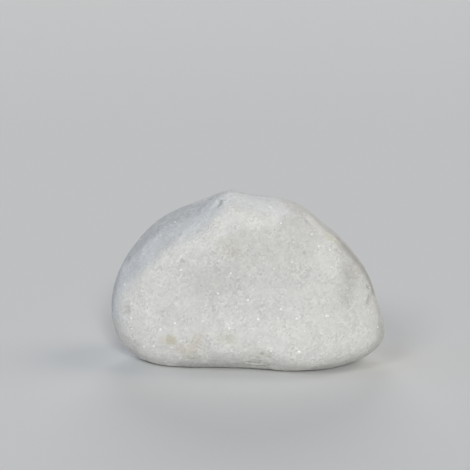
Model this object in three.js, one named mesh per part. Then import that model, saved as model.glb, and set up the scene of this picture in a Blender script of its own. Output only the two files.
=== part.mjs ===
// A water-worn pebble of white crystalline marble, standing on its long flattened edge.
// Millimetres, +Z up, +X along the pebble's length. The broad front looks towards -Y.
// The origin lies under the middle of the pebble, on the surface that it stands on.

import * as THREE from "three";
import { mergeVertices } from "three/addons/utils/BufferGeometryUtils.js";

// Driving dimensions.
const CENTRE_HEIGHT = 38; // the middle of the outline, above the resting face
const FRONT_DEPTH = 31; // how far the front swells out of the rim
const BACK_DEPTH = 28; // how far the back swells out of the rim
const RESTING_CUT = 3.4; // worn off the underside, below the resting face
const RESTING_EDGE = 1.3; // softness of the edge round the resting face

// How full the sections are at the left-hand and right-hand ends.
// 2 is an ellipse, and more is a flatter face with tighter shoulders.
const FRONT_FULLNESS = { left: 3.0, right: 3.4 };
const BACK_FULLNESS = { left: 2.3, right: 2.3 };

// The rim seen square on from the front, as [x, z], anticlockwise from the right-hand tip.
const RIM = [
  [64.6, 16.8], [60.2, 29.4], [57.7, 38.0], [53.6, 46.3], [47.8, 54.7], [41.0, 61.4],
  [34.1, 66.5], [28.0, 71.6], [21.3, 75.6], [14.2, 78.0], [0.0, 79.8], [-3.8, 80.9],
  [-9.1, 82.4], [-15.2, 80.8], [-23.8, 77.1], [-35.7, 71.6], [-45.4, 65.8], [-53.9, 57.9],
  [-60.9, 47.5], [-64.2, 36.0], [-65.2, 25.7], [-64.0, 15.8], [-59.4, 7.2], [-51.4, 1.4],
  [-42.0, -2.4], [-29.0, -4.2], [12.0, -4.6], [27.0, -4.4], [36.5, -2.6], [45.2, 0.0],
  [55.0, 3.4], [60.2, 7.4], [63.8, 12.4],
];
const RIM_SAMPLES = 1440;

// The rim's small bumps die out towards the middle of each face. There the outline is averaged
// over this many degrees to either side, and the bumps come back with this power of the way out.
const MIDDLE_ARC = 25;
const BUMP_POWER = 4;

// How the depths change over the outline, in millimetres at its right-hand end and at its top.
const DEPTH_SLOPES = { frontRight: 2.5, frontTop: -2, backRight: -2, backTop: -5 };

// How far the rim lies behind the middle plane, at the right-hand end, the left-hand end and the top.
const RIM_SETBACK = { right: 1, left: 3, top: 5 };

// Slopes worn off the front's shoulders. Each has a middle, as an angle round the rim in degrees, the
// angle that it runs to either side, the depth that it leaves at the rim, how much it deepens per
// millimetre inwards, and the softness of its crest. Towards its ends it fades with this power.
const WORN_SLOPES = [
  { middle: 148, halfSpan: 43, rimDepth: 2, rise: 1.75, softness: 1.4 }, // along the upper left
  { middle: 262, halfSpan: 84, rimDepth: 11, rise: 1.1, softness: 3 }, // under the foot
];
const SLOPE_FADE = 4;

// Broad hollows: [x, z] of the middle, half-widths across and up, depth, and turn in degrees.
// A negative depth is a swelling.
const FRONT_HOLLOWS = [
  { at: [0, 44], size: [36, 12], depth: 5, turn: 10 }, // the long hollow across the middle
  { at: [30, 63], size: [6, 11], depth: 1.1, turn: -10 }, // the dip to the right of the brow
  { at: [50, 41], size: [4.5, 12], depth: 2.2, turn: 8 }, // the groove beside the right-hand edge
  { at: [24, 17], size: [34, 8], depth: -1.2, turn: 0 }, // the low belly
  { at: [24, 2], size: [16, 9], depth: -5.5, turn: 0 }, // the toe, right of the middle
];
const BACK_HOLLOWS = [
  { at: [18, 52], size: [24, 15], depth: 1.6, turn: -20 },
  { at: [-30, 30], size: [18, 22], depth: -1.4, turn: 15 },
  { at: [38, 24], size: [16, 12], depth: -1.2, turn: 0 },
];

// Long shallow waves that keep the surface from being regular: direction, wavelength, height, phase.
const WAVES = [
  { along: [0.8, 0.3, 0.5], length: 61, height: 0.45, phase: 0.7 },
  { along: [-0.4, 0.7, 0.6], length: 43, height: 0.35, phase: 2.1 },
  { along: [0.5, -0.6, 0.6], length: 29, height: 0.22, phase: 4.0 },
];

const GRID = 24; // squares along each edge of the cube that is blown up into the pebble
const SEAM = 1e-4; // corners of the cube's sides closer than this are one corner

const MARBLE = { name: "white_marble", color: 0xd0d0cb, roughness: 0.72, metalness: 0 };

const radians = THREE.MathUtils.degToRad;
const halfLength = Math.max(...RIM.map(([x]) => x));
const halfHeight = Math.max(...RIM.map(([, z]) => z)) - CENTRE_HEIGHT;

// The same angle, between -pi and pi.
function wrapped(angle) {
  return Math.atan2(Math.sin(angle), Math.cos(angle));
}

// Rises smoothly from 0, far below 0, to x itself, far above it.
function softPlus(x, softness) {
  return softness * Math.log1p(Math.exp(x / softness));
}

function softMin(a, b, softness) {
  return a - softPlus(a - b, softness);
}

// 1 at the middle, falling smoothly to 0, where a distance of 1 is the half-width.
function bell(distance) {
  return Math.exp(-0.5 * distance * distance);
}

// The distance from the middle of the outline to the rim, as a function of the angle in radians.
function rimRadius(points) {
  const curve = new THREE.CatmullRomCurve3(
    points.map(([x, z]) => new THREE.Vector3(x, z - CENTRE_HEIGHT, 0)),
    true,
    "centripetal",
  );
  const samples = curve.getPoints(RIM_SAMPLES).map((p) => ({
    angle: Math.atan2(p.y, p.x),
    radius: Math.hypot(p.x, p.y),
  }));
  samples.sort((a, b) => a.angle - b.angle);
  return (angle) => {
    const next = samples.findIndex((s) => s.angle > angle);
    const above = samples[Math.max(next, 0)];
    const below = samples[next > 0 ? next - 1 : samples.length - 1];
    const gap = wrapped(above.angle - below.angle);
    const share = gap > 0 ? wrapped(angle - below.angle) / gap : 0;
    return THREE.MathUtils.lerp(below.radius, above.radius, share);
  };
}

// The same, averaged over an arc to either side, most heavily near the angle itself.
function averagedRadius(radius, halfArc) {
  const steps = 8;
  return (angle) => {
    let sum = 0;
    let weights = 0;
    for (let i = -steps; i <= steps; i++) {
      const weight = steps + 1 - Math.abs(i);
      sum += weight * radius(wrapped(angle + (i / steps) * halfArc));
      weights += weight;
    }
    return sum / weights;
  };
}

const rimAt = rimRadius(RIM);
const middleAt = averagedRadius(rimAt, radians(MIDDLE_ARC));

// How much of a depth the worn slopes leave, at a distance inwards from the rim.
function wornDepth(fullDepth, angle, inward) {
  return WORN_SLOPES.reduce((depth, { middle, halfSpan, rimDepth, rise, softness }) => {
    const beyond = Math.abs(wrapped(angle - radians(middle))) / radians(halfSpan);
    const slope = rimDepth + rise * inward + FRONT_DEPTH * beyond ** SLOPE_FADE;
    return Math.max(softMin(depth, slope, softness), 0);
  }, fullDepth);
}

function hollowDepth(hollows, x, z) {
  return hollows.reduce((sum, { at, size, depth, turn }) => {
    const offset = new THREE.Vector2(x - at[0], z - at[1]);
    offset.rotateAround(new THREE.Vector2(), -radians(turn));
    return sum + depth * bell(Math.hypot(offset.x / size[0], offset.y / size[1]));
  }, 0);
}

function waveHeight(point) {
  return WAVES.reduce((sum, { along, length, height, phase }) => {
    const position = point.dot(new THREE.Vector3(...along).normalize());
    return sum + height * Math.sin((2 * Math.PI * position) / length + phase);
  }, 0);
}

// How far the rim has moved back, at a share of the way to the right and of the way to the top.
function setbackAt(right, top) {
  const towardsEnd = right > 0 ? RIM_SETBACK.right : RIM_SETBACK.left;
  return towardsEnd * right ** 2 + RIM_SETBACK.top * Math.max(top, 0) ** 2;
}

// The pebble's surface for one point of the unit sphere, before the waves and the resting face.
function surfacePoint(onSphere) {
  const isFront = onSphere.y < 0;
  const ends = isFront ? FRONT_FULLNESS : BACK_FULLNESS;
  const fullness = THREE.MathUtils.lerp(ends.left, ends.right, (onSphere.x + 1) / 2);
  const inPlane = Math.hypot(onSphere.x, onSphere.z);
  const across = Math.abs(onSphere.y);
  const norm = (inPlane ** fullness + across ** fullness) ** (1 / fullness);
  const wayOut = inPlane / norm; // 0 in the middle of a face, 1 at the rim
  const swell = across / norm; // 1 in the middle of a face, 0 at the rim

  const angle = Math.atan2(onSphere.z * halfHeight, onSphere.x * halfLength);
  const radius = THREE.MathUtils.lerp(middleAt(angle), rimAt(angle), wayOut ** BUMP_POWER);
  const x = radius * wayOut * Math.cos(angle);
  const z = CENTRE_HEIGHT + radius * wayOut * Math.sin(angle);

  const right = x / halfLength;
  const top = (z - CENTRE_HEIGHT) / halfHeight;
  const setback = setbackAt(right, top);
  if (isFront) {
    const fullDepth = FRONT_DEPTH + DEPTH_SLOPES.frontRight * right + DEPTH_SLOPES.frontTop * top;
    const depth = wornDepth(fullDepth * swell, angle, radius * (1 - wayOut));
    return new THREE.Vector3(x, setback - depth + swell * hollowDepth(FRONT_HOLLOWS, x, z), z);
  }
  const fullDepth = BACK_DEPTH + DEPTH_SLOPES.backRight * right + DEPTH_SLOPES.backTop * top;
  return new THREE.Vector3(x, setback + swell * (fullDepth - hollowDepth(BACK_HOLLOWS, x, z)), z);
}

// Wears the underside flat at z = 0, with a softly rounded edge round it.
function standOnFlat(point) {
  const worn = softPlus(-RESTING_CUT, RESTING_EDGE);
  point.z = Math.max(softPlus(point.z, RESTING_EDGE) - worn, 0);
}

function pebbleGeometry() {
  const cube = new THREE.BoxGeometry(2, 2, 2, GRID, GRID, GRID);
  cube.deleteAttribute("normal");
  cube.deleteAttribute("uv");
  const geometry = mergeVertices(cube, SEAM);
  const position = geometry.getAttribute("position");
  const halfSize = new THREE.Vector3(halfLength, FRONT_DEPTH, halfHeight);
  for (let i = 0; i < position.count; i++) {
    // The tangent spreads the cube's squares evenly over the sphere.
    const corner = new THREE.Vector3().fromBufferAttribute(position, i).toArray();
    const onSphere = new THREE.Vector3(...corner.map((v) => Math.tan((v * Math.PI) / 4))).normalize();
    const point = surfacePoint(onSphere);
    const outward = onSphere.clone().divide(halfSize).normalize();
    point.addScaledVector(outward, waveHeight(point));
    standOnFlat(point);
    position.setXYZ(i, point.x, point.y, point.z);
  }
  // The origin goes under the middle of the finished pebble.
  geometry.computeBoundingBox();
  const { min, max } = geometry.boundingBox;
  geometry.translate(-(min.x + max.x) / 2, -(min.y + max.y) / 2, -min.z);
  geometry.computeVertexNormals();
  return geometry;
}

const pebble = new THREE.Mesh(pebbleGeometry(), new THREE.MeshStandardMaterial(MARBLE));
pebble.name = "pebble";

const part = new THREE.Group();
part.name = "marble_pebble";
part.add(pebble);

export default part;
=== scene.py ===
"""A pebble of white crystalline marble on a pale studio floor.

The stone keeps the frame's shape. This script gives it a fine surface (soft undulation, pits, a notch,
small ledges) and a marble material with painted light, shade and glints in its colour, and sets up the
floor, the lights and the camera.
Lengths are in millimetres where a name or a comment says so, and in metres everywhere else.
"""

import math

import bpy
import numpy as np
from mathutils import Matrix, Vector, noise


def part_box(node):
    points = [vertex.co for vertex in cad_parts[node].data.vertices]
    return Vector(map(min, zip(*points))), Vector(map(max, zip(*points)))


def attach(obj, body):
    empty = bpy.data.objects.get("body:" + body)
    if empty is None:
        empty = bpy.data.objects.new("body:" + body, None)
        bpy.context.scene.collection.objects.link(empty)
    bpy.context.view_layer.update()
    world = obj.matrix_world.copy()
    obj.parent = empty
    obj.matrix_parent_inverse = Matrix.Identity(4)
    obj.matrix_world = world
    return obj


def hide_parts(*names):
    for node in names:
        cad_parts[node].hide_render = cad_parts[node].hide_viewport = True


MM = 0.001

# The camera: a long lens a little above the stone, looking slightly down at its broad front.
CAMERA_AT_MM = (-6.4, -513.8, 161.0)
CAMERA_PITCH = math.radians(11)
LENS_MM = 85
SENSOR_MM = 36

# Distant lights, as (azimuth, elevation, softness, strength, colour), with the angles in degrees.
# Azimuth 0 is in front of the stone, and 90 is to the right.
LIGHTS = {
    "key": (10, 24, 12, 1.45, (0.98, 1.0, 0.97)),
    "left_fill": (-35, 35, 20, 0.61, (0.96, 1.0, 1.0)),
    "right_fill": (90, 45, 30, 0.42, (1.11, 1.0, 0.86)),
    "cool_fill": (-90, 48, 30, 0.10, (0.70, 1.0, 1.75)),
    "back_light": (180, 28, 30, 0.85, (1.0, 1.0, 1.0)),
}

# A faint cool glow from all round.
SURROUND_COLOUR = (0.93, 1.0, 1.10, 1)
SURROUND_STRENGTH = 0.11

# The floor: flat round the stone, and further out climbing an arc, so that it fills every view.
FLOOR_FLAT = 1.1  # radius of the flat part
FLOOR_ARC = 10.8  # radius of the arc
FLOOR_STEEPEST = math.radians(35)  # slope at the outer edge
FLOOR_RINGS = 14  # rings of points round the middle
FLOOR_SPOKES = 96  # points in each ring
FLOOR_COLOUR = (0.77, 0.77, 0.77, 1)
FLOOR_ROUGHNESS = 0.9

# The fine mesh of the stone.
WELD_MM = 0.001  # corners of the frame's mesh closer than this are one corner
CAGE_LEVELS = 3  # subdivisions that round off the frame's facets
VOXEL_MM = 0.64  # spacing of the even mesh that carries the fine surface
EVENING_ROUNDS = 6  # rounds of smoothing after the voxel remesh
EVENING_SHARE = 0.5  # how far each round takes a vertex towards the middle of its neighbours

# Undulation of the whole surface, from broad to fine: (size of a bump, height), in millimetres.
UNDULATIONS_MM = [(15, 0.30), (5.5, 0.13), (2.4, 0.06)]
LAYER_SHIFT = Vector((17.0, 5.0, 11.0))  # keeps one layer's bumps from lying over another's

# Scattered shallow pits.
PIT_COUNT = 150
PIT_RADIUS_MM = (0.7, 1.9)
PIT_DEPTH_MM = (0.08, 0.26)
PIT_SEED = 7

# Marks at places of their own, as (from, to, half-width, depth, painted shade), in millimetres. Each is a
# groove between two points, or a round pit where they are the same. A negative depth is a raised lip.
# The painted shade is how much the mark's recess is darkened.
MARKS_MM = {
    "notch at the top": ((-13.8, -9.8, 79.0), (-14.9, -12.3, 77.6), 1.15, 1.2, 0.0),
    "nick left of the notch": ((-18.9, -3.2, 78.6), (-17.6, -4.4, 78.9), 0.7, 0.35, 0.40),
    "nick on the top edge": ((-17.2, -1.2, 79.4), (-16.5, -2.6, 79.5), 0.7, 0.30, 0.35),
    "dimple at the left": ((-56.5, -15.4, 29.2), (-56.3, -15.5, 27.8), 1.4, 0.60, 0.30),
    "upper ledge": ((0.3, -22.9, 5.3), (4.6, -23.9, 5.6), 0.75, 0.50, 0.60),
    "lower ledge": ((3.3, -21.0, 3.2), (6.7, -22.3, 3.7), 0.75, 0.45, 0.60),
    "left ledge": ((0.1, -20.9, 3.6), (2.1, -21.3, 3.7), 0.70, 0.40, 0.50),
    "pit at the foot, left": ((3.9, -26.9, 9.2), (3.9, -26.9, 9.2), 0.8, 0.30, 0.25),
    "pit at the foot, upper": ((5.3, -28.6, 11.4), (5.9, -28.8, 11.0), 0.8, 0.30, 0.20),
    "pit at the foot, right": ((9.3, -28.8, 10.0), (9.3, -28.8, 10.0), 0.8, 0.30, 0.25),
    "pit at the foot, lower": ((9.0, -24.1, 4.9), (9.0, -24.1, 4.9), 0.8, 0.30, 0.30),
    "pit above the ledges": ((4.3, -25.2, 7.0), (5.2, -25.5, 7.0), 0.7, 0.30, 0.35),
    "pit by the groove": ((45.0, -20.2, 47.0), (45.9, -20.2, 45.7), 1.3, 0.50, 0.22),
    "stroke on the shoulder": ((50.5, -7.6, 51.3), (50.2, -10.4, 50.4), 0.8, 0.40, 0.32),
    "chip on the edge, top": ((56.8, -9.5, 40.6), (58.2, -7.5, 38.3), 0.9, 0.50, 0.30),
    "chip on the edge, middle": ((58.0, -9.5, 37.6), (57.8, -11.8, 36.2), 1.3, 0.60, 0.25),
    "chip on the edge, inner": ((55.5, -16.6, 35.6), (55.0, -18.4, 33.0), 0.8, 0.60, 0.32),
    "chip on the edge, outer": ((56.9, -14.6, 35.5), (56.5, -16.2, 33.6), 1.0, 0.45, 0.22),
    "chip on the edge, low": ((58.0, -12.5, 32.2), (58.4, -9.0, 30.4), 1.1, 0.50, 0.15),
    "scratch on the edge": ((54.4, -15.6, 40.1), (55.2, -15.1, 39.3), 0.7, 0.30, 0.55),
    "pit on the slope": ((-31.6, -14.3, 64.3), (-31.6, -14.3, 64.3), 1.0, 0.30, 0.30),
    "pit below the crest": ((-30.4, -22.2, 53.6), (-30.4, -22.2, 53.6), 1.0, 0.35, 0.40),
    "pit on the left of the slope": ((-56.5, -1.3, 50.3), (-56.5, -1.3, 50.3), 1.0, 0.35, 0.45),
    "scratch above the belly": ((-16.6, -25.5, 33.2), (-16.0, -25.6, 31.2), 0.7, 0.20, 0.25),
    "lip left of the notch": ((-15.6, -9.2, 78.4), (-17.4, -12.0, 76.6), 1.1, -0.30, 0.0),
    "lip between the ledges": ((1.5, -22.1, 4.5), (4.6, -22.6, 4.6), 0.7, -0.25, 0.0),
}
MARK_SHADE_SPREAD = 1.25  # how far the painted shade in a mark reaches, as a share of the half-width
WOBBLE_MM = 1.4  # size of the irregularities in a mark's or a pit's edge
WOBBLE = 0.8  # how strongly they widen and narrow it
GROOVE_REACH = 3  # a mark or a pit cuts nothing further away than this many half-widths
NO_LENGTH = 1e-9  # stands in for a round pit's squared length, which is 0

# Painted glints: white spots in the colour where the brightest crystals sparkle.
PAINTED_GLINTS_MM = [
    (14.5, -17.9, 70.1), (-9.1, -28.8, 23.8), (28.8, -16.1, 64.7), (-0.5, -26.1, 36.2),
    (4.0, -29.1, 28.1), (-43.8, -21.1, 13.0), (-33.8, -24.4, 24.9), (-48.6, -18.5, 11.8),
    (9.9, -30.7, 13.6), (14.3, -28.6, 32.6), (-34.4, -4.6, 68.2), (31.8, -18.7, 59.6),
    (59.7, -18.0, 21.2), (55.9, -14.0, 39.1),
]
PAINTED_GLINT_RADIUS_MM = 0.5  # their radius

# Marble colours, linear. The speck grey is the colour of dark specks and also of painted shade; the glint
# white is the colour of painted glints and of a painted highlight.
MARBLE = (0.694, 0.681, 0.661, 1)
OLIVE = (0.59, 0.572, 0.485, 1)
OCHRE = (0.60, 0.560, 0.460, 1)
ROSE = (0.70, 0.640, 0.590, 1)
TAN = (0.62, 0.575, 0.515, 1)
YELLOWISH = (0.80, 0.79, 0.67, 1)
SPECK_AND_SHADE = (0.36, 0.35, 0.32, 1)
RED_BROWN = (0.36, 0.24, 0.17, 1)
GLINT = (0.98, 0.98, 0.97, 1)
CLOUD_LIGHTNESS = 0.95  # of the greyer clouds in the marble

# Broad zones of painted light and shade, as (from, to, radius, lightness, painted cool light), in
# millimetres.
# Lighter zones are painted light and greyer ones painted shade, above all on the rims and edges, along
# the foot and toe, and in the hollows and the groove; in part they are also the marble's own tone.
# Lightness 1 is the marble itself, and the painted cool light is the share that a zone is bluer by.
PAINTED_LIGHT_AND_SHADE = {
    "worn slope": ((-16, -8, 77), (-60, -3, 43), 13, 0.98, 0.05),
    "left end": ((-62, -4, 34), (-61, -9, 22), 7, 0.94, 0.05),
    "crest, upper": ((-5, -19, 73), (-36, -21, 55), 6, 1.05, 0),
    "crest, lower": ((-42, -21, 44), (-49, -19, 27), 9, 1.04, 0),
    "lower left": ((-46, -20, 18), (-30, -25, 20), 7, 1.02, 0),
    "lower left corner": ((-61, -9, 17), (-51, -15, 8), 6, 0.87, 0),
    "left edge": ((-64, -5, 30), (-62, -2, 42), 5, 0.83, 0.05),
    "worn slope, lower": ((-46, -4, 61), (-47, -12, 54), 6, 1.06, 0.05),
    "worn slope, upper": ((-27, -14, 67), (-20, -12, 73), 5, 1.03, 0.05),
    "edge of the worn slope": ((-20, -14.5, 71.8), (-30, -16.5, 64), 3.5, 1.12, 0.03),
    "left of the notch": ((-24, -5, 74.5), (-18, -4, 78), 4, 0.90, 0.05),
    "peak": ((-13, -2, 81), (-9, -2, 81.5), 3, 0.82, 0.04),
    "rim of the worn slope": ((-30, 0, 73), (-58, 2, 52), 7, 0.83, 0.05),
    "brow": ((2, -18, 72), (13, -19, 69), 7, 1.09, 0),
    "top rim": ((-6, -6, 81), (14, -10, 76), 7, 1.16, 0.035),
    "top rim, outer": ((0, 0.5, 79.8), (12, -0.5, 78.2), 4, 1.12, 0.03),
    "top rim, right": ((12, -10, 76), (16, -15, 73), 5, 1.15, 0.02),
    "dip beside the brow": ((18, -17, 70), (20, -18, 66), 4.5, 0.92, 0),
    "top rim, far right": ((20, -6, 75), (27, -6, 71), 4, 1.02, 0),
    "below the peak": ((-9, -12, 75), (-8, -15, 73), 4, 1.13, 0),
    "shoulder above the boss": ((29, -7, 69), (38, -12, 62), 5, 1.18, 0),
    "belly": ((-9, -29, 20), (20, -31, 20), 9, 1.04, 0),
    "right of the belly": ((34, -29, 27), (37, -28, 14), 6, 1.02, 0),
    "below the belly": ((4, -28, 12), (14, -30, 11), 5, 1.12, 0),
    "left of the belly, low": ((-10, -29, 14), (-5, -29, 14), 4, 1.11, 0),
    "under the lower left": ((-47, -18, 9), (-22, -24.5, 8), 5, 1.07, 0),
    "under the belly": ((16, -30, 9), (32, -29, 8), 4.5, 1.07, 0),
    "boss": ((33, -20, 58), (35, -21, 50), 6, 1.03, 0),
    "rib beside the groove": ((51, -20, 38), (50, -23, 22), 4.5, 0.99, 0),
    "left of the long hollow": ((-30, -22.5, 48.5), (-26, -23, 45.5), 4, 0.96, 0),
    "long hollow, left": ((-19, -24, 43), (-8, -24, 45), 8, 0.92, 0),
    "long hollow, right": ((-4, -23, 62), (24, -21, 60), 8, 0.93, 0),
    "below the boss": ((8, -25, 47), (28, -24, 47), 7, 0.95, 0),
    "groove": ((46, -20, 47), (44, -24, 37), 5, 0.86, 0),
    "heel": ((45, -27, 16), (53, -24, 16), 6, 1.04, 0),
    "right edge": ((58, -17, 27), (58, -12, 34), 4, 1.09, 0),
    "upper right edge": ((46, -9, 55), (58, -8, 38), 5, 0.78, 0),
    "lower right edge": ((60, -14, 18), (58, -17, 10), 5, 0.81, 0),
    "edge of the foot": ((-30, -17, 2), (8, -20, 2), 4.5, 0.84, 0),
    "edge of the toe": ((32, -24, 3), (54, -19, 6), 4, 0.80, 0),
}

# Small stains, and painted shade and a painted highlight on the notch's banks, as (from, to, radius,
# colour, strength), in millimetres.
STAINS_AND_NOTCH_SHADING = {
    "ochre spot": ((-36.4, -24.4, 17.0), (-35.0, -24.8, 16.8), 2.4, OCHRE, 0.85),
    "rosy edge of the ochre spot": ((-39.6, -23.2, 17.2), (-39.6, -23.2, 15.8), 1.6, ROSE, 0.75),
    "rosy streak, upper": ((-23.2, -27.7, 18.8), (-24.6, -27.3, 15.8), 2.6, TAN, 0.65),
    "rosy streak, lower": ((-25.0, -27.0, 13.6), (-32.5, -25.0, 12.6), 2.6, ROSE, 0.7),
    "olive below the streak": ((-27.5, -24.6, 9.6), (-25.5, -24.8, 9.6), 3.4, OLIVE, 0.45),
    "grey smudge": ((-12.5, -29.2, 18.6), (-7.5, -29.4, 18.0), 2.6, OLIVE, 0.42),
    "tan patch below the brow": ((-11.5, -23.6, 61.0), (-6.5, -24.0, 59.0), 4.2, TAN, 0.30),
    "yellowish patch on the shoulder": ((36.2, -11.5, 63.3), (38.0, -11.0, 61.8), 2.8, YELLOWISH, 0.8),
    "yellowish patch below it": ((41.0, -11.8, 60.0), (42.3, -11.6, 58.2), 2.2, OLIVE, 0.5),
    "red-brown spot": ((42.1, -3.4, 60.3), (41.9, -5.2, 60.3), 1.3, RED_BROWN, 0.45),
    "grey beside the red-brown spot": ((43.8, -6.5, 58.6), (46.0, -7.5, 56.2), 2.0, SPECK_AND_SHADE, 0.18),
    "brownish edge of the groove": ((49.0, -14, 49.5), (48.5, -17.0, 46), 3.0, TAN, 0.35),
    "blotch at the foot": ((4.5, -28.0, 10.0), (8.6, -29.6, 11.8), 2.2, OLIVE, 0.35),
    # The notch's dark bank is painted shade, and its bright bank is a painted highlight.
    "dark bank of the notch": ((-12.8, -10.4, 79.0), (-13.7, -12.5, 77.7), 1.0, SPECK_AND_SHADE, 0.50),
    "bright bank of the notch": ((-14.4, -9.8, 78.8), (-15.9, -11.8, 77.4), 0.8, GLINT, 0.12),
    "speck in the dip": ((24.9, -21.5, 57.0), (24.9, -21.5, 57.0), 0.9, SPECK_AND_SHADE, 0.30),
}

# Noise in the marble, as (size in millimetres, detail, roughness).
CLOUDS = (24, 3, 0.55)
MOTTLING = (3.4, 3, 0.65)
CLEARNESS = (7, 2, 0.5)
SAND = (0.8, 2, 0.6)
ZONE_EDGE = (9, 2, 0.5)
STAIN_AND_SHADING_EDGE = (2.4, 3, 0.6)
MARK_SHADE_EDGE = (1.3, 3, 0.7)

# Painted patches fade out between these shares of their radius.
FADE_FROM = 0.45
FADE_TO = 1.35

# How far noise bends their edges, from the innermost to the outermost, as a share of the radius.
ZONE_RAGGED = 0.7
STAIN_AND_SHADING_RAGGED = 1.3
MARK_SHADE_RAGGED = 1.4

# What the patterns do, as (low, high, result at low, result at high).
CLOUD_COVER = (0.40, 0.72, 0.0, 1.0)
MOTTLING_SHADE = (0.25, 0.75, 0.95, 1.045)
CRYSTAL_SHADE = (0.0, 2.0, -0.118, 0.097)  # of the sum of two random numbers for each crystal
CLEARNESS_STRENGTH = (0.35, 0.65, 0.45, 1.25)  # how strongly the crystals stand out
SPECK_SPREAD = (0.03, 0.10, 1.0, 0.0)  # from its middle outwards, in cells
SPECK_CHOICE = (0.5, 0.9, 0.0, 1.0)  # the cells that have a speck
GLINT_CHOICE = (0.995, 1.0, 0.0, 0.8)  # a few crystals anywhere, given painted glints
ROUGHNESS = (0.0, 1.0, 0.65, 0.90)  # from the smoothest crystals to the roughest

CRYSTAL_MM = 0.85
SPECK_CELL_MM = 5.5  # a cell of this size has one dark speck or none
SPECK_STRENGTH = 0.62

# The crystals' faces: how far they are tilted, and the sandy relief over them.
FACE_TILT = 0.12
LEVEL_COLOUR = (0.5, 0.5, 0.5)  # a crystal of this random colour isn't tilted
SAND_STRENGTH = 0.35
SAND_HEIGHT_MM = 0.12

# The clean cleavage faces.
CLEAVAGE_ABOVE = 0.93  # a crystal has one if its random number is above this
CLEAVAGE_TILT = 1.1
CLEAVAGE_GLOSS = 0.3

# What is the same all over the marble.
FINISH = {
    "Specular IOR Level": 0.15,
    "Subsurface Weight": 0.15,
    "Subsurface Radius": (1.0, 0.95, 0.85),
    "Subsurface Scale": 1.2 * MM,
    "Coat Roughness": 0.16,
}


def add_object(name, data):
    """A new object in the scene."""
    made = bpy.data.objects.new(name, data)
    bpy.context.scene.collection.objects.link(made)
    return made


def fine_copy(node, name):
    """An even, smooth, dense copy of a frame node's mesh, as a new object."""
    mesh = node.data.copy()
    mesh.materials.clear()
    stone = add_object(name, mesh)
    weld = stone.modifiers.new("weld", "WELD")
    weld.merge_threshold = WELD_MM * MM
    rounding = stone.modifiers.new("rounding", "SUBSURF")
    rounding.levels = rounding.render_levels = CAGE_LEVELS
    remesh = stone.modifiers.new("even mesh", "REMESH")
    remesh.mode = "VOXEL"
    remesh.voxel_size = VOXEL_MM * MM
    evening = stone.modifiers.new("evening", "SMOOTH")
    evening.factor = EVENING_SHARE
    evening.iterations = EVENING_ROUNDS
    bpy.context.view_layer.update()
    evaluated = stone.evaluated_get(bpy.context.evaluated_depsgraph_get())
    stone.data = bpy.data.meshes.new_from_object(evaluated)
    stone.data.name = name
    stone.modifiers.clear()
    return stone


def points_and_normals(mesh):
    """The mesh's vertices, in millimetres, and their normals."""
    count = len(mesh.vertices)
    points = np.empty(count * 3)
    normals = np.empty(count * 3)
    mesh.vertices.foreach_get("co", points)
    mesh.vertices.foreach_get("normal", normals)
    return points.reshape(-1, 3) / MM, normals.reshape(-1, 3)


def undulation(points):
    """The height of the soft waves all over the surface."""
    height = np.zeros(len(points))
    for layer, (size, swing) in enumerate(UNDULATIONS_MM):
        shift = LAYER_SHIFT * layer
        height += swing * np.array([noise.noise(Vector(p) / size + shift) for p in points])
    return height


def groove(points, start, end, half_width, depth):
    """How deep a soft-edged groove from start to end cuts at each point, all in millimetres."""
    start = np.array(start)
    along = np.array(end) - start
    length_squared = max(along @ along, NO_LENGTH)
    share = np.clip((points - start) @ along / length_squared, 0, 1)
    distance = np.linalg.norm(points - start - share[:, None] * along, axis=1)
    near = distance < GROOVE_REACH * half_width
    wobble = np.array([noise.noise(Vector(p) / WOBBLE_MM) for p in points[near]])
    depths = np.zeros(len(points))
    depths[near] = depth * np.exp(-((distance[near] / half_width * (1 + WOBBLE * wobble)) ** 2))
    return depths


def scattered_pits(points):
    """How deep the small random pits cut at each point."""
    random = np.random.default_rng(PIT_SEED)
    depths = np.zeros(len(points))
    for middle in points[random.integers(0, len(points), PIT_COUNT)]:
        radius = random.uniform(*PIT_RADIUS_MM)
        depth = random.uniform(*PIT_DEPTH_MM)
        depths += groove(points, middle, middle, radius, depth)
    return depths


def carve(stone, box):
    """Moves the fine mesh's vertices along their normals to make the relief, and keeps it in the box."""
    points, normals = points_and_normals(stone.data)
    height = undulation(points) - scattered_pits(points)
    for start, end, half_width, depth, _ in MARKS_MM.values():
        height -= groove(points, start, end, half_width, depth)
    low, high = (np.array(corner) / MM for corner in box)
    carved = np.clip(points + normals * height[:, None], low, high)
    stone.data.vertices.foreach_set("co", (carved * MM).ravel())
    stone.data.update()
    stone.data.shade_smooth()


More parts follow.
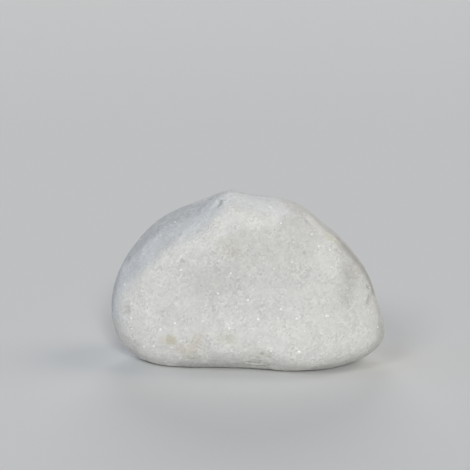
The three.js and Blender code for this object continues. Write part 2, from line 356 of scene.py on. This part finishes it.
class Nodes:
    """Adds nodes to a new material and links them. An input is a value or another node's output."""

    def __init__(self, name):
        self.material = bpy.data.materials.new(name)
        self.material.use_nodes = True
        self.tree = self.material.node_tree
        self.shader = self.tree.nodes["Principled BSDF"]
        self.position = self.add("ShaderNodeTexCoord").outputs["Object"]

    def add(self, kind, inputs=None, **settings):
        made = self.tree.nodes.new(kind)
        for key, value in settings.items():
            setattr(made, key, value)
        self.fill(made, inputs or {})
        return made

    def fill(self, node, inputs):
        for key, value in inputs.items():
            if isinstance(value, bpy.types.NodeSocket):
                self.tree.links.new(value, node.inputs[key])
            else:
                node.inputs[key].default_value = value

    def math(self, operation, first, second=0.0, third=0.0):
        return self.add("ShaderNodeMath", {0: first, 1: second, 2: third}, operation=operation).outputs[0]

    def vector(self, operation, first, second=(0, 0, 0)):
        inputs = {0: first, "Scale" if operation == "SCALE" else 1: second}
        made = self.add("ShaderNodeVectorMath", inputs, operation=operation)
        return made.outputs["Value" if operation in ("LENGTH", "DOT_PRODUCT") else "Vector"]

    def mix(self, share, first, second, blend="MIX"):
        inputs = {"Factor": share, "A": first, "B": second}
        return self.add("ShaderNodeMix", inputs, data_type="RGBA", blend_type=blend).outputs["Result"]

    def ramp(self, value, low, high, to_low, to_high):
        """Goes smoothly from to_low to to_high while the value goes from low to high."""
        inputs = {"Value": value, "From Min": low, "From Max": high, "To Min": to_low, "To Max": to_high}
        return self.add("ShaderNodeMapRange", inputs, interpolation_type="SMOOTHSTEP").outputs["Result"]

    def at_size(self, size_mm):
        """The inputs that lay a texture over the stone at a size."""
        return {"Vector": self.position, "Scale": 1 / (size_mm * MM)}

    def noise(self, size_mm, detail, roughness):
        inputs = {**self.at_size(size_mm), "Detail": detail, "Roughness": roughness}
        return self.add("ShaderNodeTexNoise", inputs).outputs["Fac"]

    def cells(self, size_mm):
        """Irregular cells: a random colour for each, and the distance from its middle."""
        made = self.add("ShaderNodeTexVoronoi", self.at_size(size_mm))
        return made.outputs["Color"], made.outputs["Distance"]

    def channels(self, colour):
        """A colour's red, green and blue. Those of a random colour are three random numbers."""
        return self.add("ShaderNodeSeparateColor", {"Color": colour}).outputs[:3]

    def near_line(self, start_mm, end_mm, radius_mm, wander=0.0, ragged=0.0):
        """1 near the line between two points, falling to 0 about a radius away, with a ragged edge."""
        start, end = Vector(start_mm) * MM, Vector(end_mm) * MM
        along = end - start
        distance = self.vector("SUBTRACT", self.position, start)
        if along.length > 0:
            reach = self.vector("DOT_PRODUCT", distance, along / along.length_squared)
            share = self.add("ShaderNodeClamp", {"Value": reach}).outputs["Result"]
            distance = self.vector("SUBTRACT", distance, self.vector("SCALE", along, share))
        radii = self.math("DIVIDE", self.vector("LENGTH", distance), radius_mm * MM)
        edge = self.math("MULTIPLY_ADD", wander, ragged, radii)
        return self.ramp(edge, FADE_FROM + ragged / 2, FADE_TO + ragged / 2, 1.0, 0.0)


def tone(lightness, painted_cool_light=0.0):
    """The marble's colour, made lighter or greyer by a factor, and bluer by a share of painted cool
    light.
    """
    red, green, blue, alpha = MARBLE
    tinted = (red * (1 - painted_cool_light / 2), green, blue * (1 + painted_cool_light))
    return (*(channel * lightness for channel in tinted), alpha)


def clouds_and_painted_light(n):
    """The marble's own colour with grey clouds in it, and over it the broad zones of painted light and
    shade.
    """
    colour = n.mix(n.ramp(n.noise(*CLOUDS), *CLOUD_COVER), MARBLE, tone(CLOUD_LIGHTNESS))
    wander = n.noise(*ZONE_EDGE)
    for start, end, radius, lightness, painted_cool_light in PAINTED_LIGHT_AND_SHADE.values():
        mask = n.near_line(start, end, radius, wander, ZONE_RAGGED)
        colour = n.mix(mask, colour, tone(lightness, painted_cool_light))
    return colour


def stained_and_notch_shaded(n, colour):
    """The small stains, and the painted shade and highlight on the notch's banks, with ragged edges."""
    wander = n.noise(*STAIN_AND_SHADING_EDGE)
    for start, end, radius, tint, strength in STAINS_AND_NOTCH_SHADING.values():
        mask = n.near_line(start, end, radius, wander, STAIN_AND_SHADING_RAGGED)
        colour = n.mix(n.math("MULTIPLY", mask, strength), colour, tint)
    return colour


def with_painted_mark_shade(n, colour):
    """Painted shade in the recesses of the marks."""
    wander = n.noise(*MARK_SHADE_EDGE)
    for start, end, half_width, _, mark_shade in MARKS_MM.values():
        if mark_shade:
            mask = n.near_line(start, end, MARK_SHADE_SPREAD * half_width, wander, MARK_SHADE_RAGGED)
            colour = n.mix(n.math("MULTIPLY", mask, mark_shade), colour, SPECK_AND_SHADE)
    return colour


def with_specks(n, colour):
    """Sparse dark specks, each in a cell of its own."""
    cell, distance = n.cells(SPECK_CELL_MM)
    chosen = n.ramp(n.channels(cell)[0], *SPECK_CHOICE)
    speck = n.math("MULTIPLY", n.ramp(distance, *SPECK_SPREAD), chosen)
    return n.mix(n.math("MULTIPLY", speck, SPECK_STRENGTH), colour, SPECK_AND_SHADE)


def grained(n, colour, brightness):
    """Mottling of a few millimetres, and a shade for each crystal, stronger where the stone is clear."""
    mottling = n.ramp(n.noise(*MOTTLING), *MOTTLING_SHADE)
    clearness = n.ramp(n.noise(*CLEARNESS), *CLEARNESS_STRENGTH)
    grain = n.math("MULTIPLY_ADD", n.ramp(brightness, *CRYSTAL_SHADE), clearness, 1.0)
    return n.mix(1.0, colour, n.math("MULTIPLY", mottling, grain), "MULTIPLY")


def with_painted_glints(n, colour, chance):
    """Painted glints: white spots on a few crystals anywhere, and at the places of the brightest ones."""
    glint = n.ramp(chance, *GLINT_CHOICE)
    for point in PAINTED_GLINTS_MM:
        glint = n.math("MAXIMUM", glint, n.near_line(point, point, PAINTED_GLINT_RADIUS_MM))
    return n.mix(glint, colour, GLINT)


def crystal_faces(n, crystal, chance):
    """Tilts each crystal's face its own way, and gives a few a clean cleavage face that can glint."""
    normal = n.add("ShaderNodeNewGeometry").outputs["Normal"]
    tilt = n.vector("SUBTRACT", crystal, LEVEL_COLOUR)
    face = n.vector("NORMALIZE", n.vector("ADD", normal, n.vector("SCALE", tilt, FACE_TILT)))
    cleavage = n.vector("NORMALIZE", n.vector("ADD", normal, n.vector("SCALE", tilt, CLEAVAGE_TILT)))
    relief = {
        "Strength": SAND_STRENGTH,
        "Distance": SAND_HEIGHT_MM * MM,
        "Height": n.noise(*SAND),
        "Normal": face,
    }
    sandy = n.add("ShaderNodeBump", relief).outputs["Normal"]
    is_clean = n.math("GREATER_THAN", chance, CLEAVAGE_ABOVE)
    gloss = n.math("MULTIPLY", is_clean, CLEAVAGE_GLOSS)
    n.fill(n.shader, {"Normal": sandy, "Coat Weight": gloss, "Coat Normal": cleavage})


def marble():
    """White, finely crystalline marble: cloudy, grained, with a few stains and glinting crystals, and
    with painted light, shade and glints in its colour.
    """
    n = Nodes("white_marble")
    crystal, _ = n.cells(CRYSTAL_MM)
    first, second, third = n.channels(crystal)  # random numbers, three for each crystal
    colour = with_specks(n, with_painted_mark_shade(n, stained_and_notch_shaded(n, clouds_and_painted_light(n))))
    colour = grained(n, colour, n.math("ADD", first, third))
    colour = with_painted_glints(n, colour, second)
    n.fill(n.shader, {"Base Color": colour, "Roughness": n.ramp(third, *ROUGHNESS)})
    crystal_faces(n, crystal, third)
    n.fill(n.shader, FINISH)
    return n.material


def floor_points():
    """The middle of the floor, and rings of points round it that climb the arc."""
    points = [(0, 0, 0)]
    for turn in np.linspace(0, FLOOR_STEEPEST, FLOOR_RINGS):
        reach = FLOOR_FLAT + FLOOR_ARC * math.sin(turn)
        height = FLOOR_ARC * (1 - math.cos(turn))
        for way in np.linspace(0, math.tau, FLOOR_SPOKES, endpoint=False):
            points.append((reach * math.cos(way), reach * math.sin(way), height))
    return points


def floor_faces():
    """Triangles round the middle, and squares between each ring and the next."""
    faces = []
    for spoke in range(FLOOR_SPOKES):
        here, beside = 1 + spoke, 1 + (spoke + 1) % FLOOR_SPOKES
        faces.append((0, here, beside))
        for ring in range(FLOOR_RINGS - 1):
            inner, outer = ring * FLOOR_SPOKES, (ring + 1) * FLOOR_SPOKES
            faces.append((here + inner, here + outer, beside + outer, beside + inner))
    return faces


def floor_material():
    """An even, matt material."""
    material = bpy.data.materials.new("studio_floor")
    material.use_nodes = True
    shader = material.node_tree.nodes["Principled BSDF"]
    shader.inputs["Base Color"].default_value = FLOOR_COLOUR
    shader.inputs["Roughness"].default_value = FLOOR_ROUGHNESS
    shader.inputs["Specular IOR Level"].default_value = 0
    return material


def backdrop():
    """The pale floor, which isn't part of the object."""
    mesh = bpy.data.meshes.new("floor")
    mesh.from_pydata(floor_points(), [], floor_faces())
    mesh.shade_smooth()
    mesh.materials.append(floor_material())
    floor = add_object("floor", mesh)


def distant_light(name, azimuth, elevation, softness, strength, colour):
    """A light so far away that only its direction matters."""
    light = bpy.data.lights.new(name, "SUN")
    light.angle = math.radians(softness)
    light.energy = strength
    light.color = colour
    lamp = add_object(name, light)
    a, e = math.radians(azimuth), math.radians(elevation)
    outward = Vector((math.sin(a) * math.cos(e), -math.cos(a) * math.cos(e), math.sin(e)))
    lamp.rotation_euler = outward.to_track_quat("Z", "Y").to_euler()


def studio_light():
    """A broad key near the camera, fills on both sides, a light behind, and a faint glow all round."""
    for name, settings in LIGHTS.items():
        distant_light(name, *settings)
    world = bpy.data.worlds.new("surround")
    world.use_nodes = True
    background = world.node_tree.nodes["Background"]
    background.inputs["Color"].default_value = SURROUND_COLOUR
    background.inputs["Strength"].default_value = SURROUND_STRENGTH
    bpy.context.scene.world = world
    bpy.context.scene.view_settings.view_transform = "Standard"


def camera():
    """The photograph's viewpoint."""
    lens = bpy.data.cameras.new("camera")
    lens.lens = LENS_MM
    lens.sensor_width = SENSOR_MM
    eye = add_object("camera", lens)
    eye.location = Vector(CAMERA_AT_MM) * MM
    eye.rotation_euler = (math.pi / 2 - CAMERA_PITCH, 0, 0)
    bpy.context.scene.camera = eye


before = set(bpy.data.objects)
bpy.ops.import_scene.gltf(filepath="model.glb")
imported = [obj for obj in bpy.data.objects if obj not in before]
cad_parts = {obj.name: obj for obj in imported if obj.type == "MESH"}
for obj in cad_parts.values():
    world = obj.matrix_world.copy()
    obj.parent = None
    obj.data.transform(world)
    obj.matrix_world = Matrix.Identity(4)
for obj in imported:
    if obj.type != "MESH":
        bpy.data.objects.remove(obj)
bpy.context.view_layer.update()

camera()
studio_light()
backdrop()

pebble = fine_copy(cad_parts["pebble"], "stone")
carve(pebble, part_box("pebble"))
pebble.data.materials.append(marble())
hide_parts("pebble")
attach(pebble, "root")
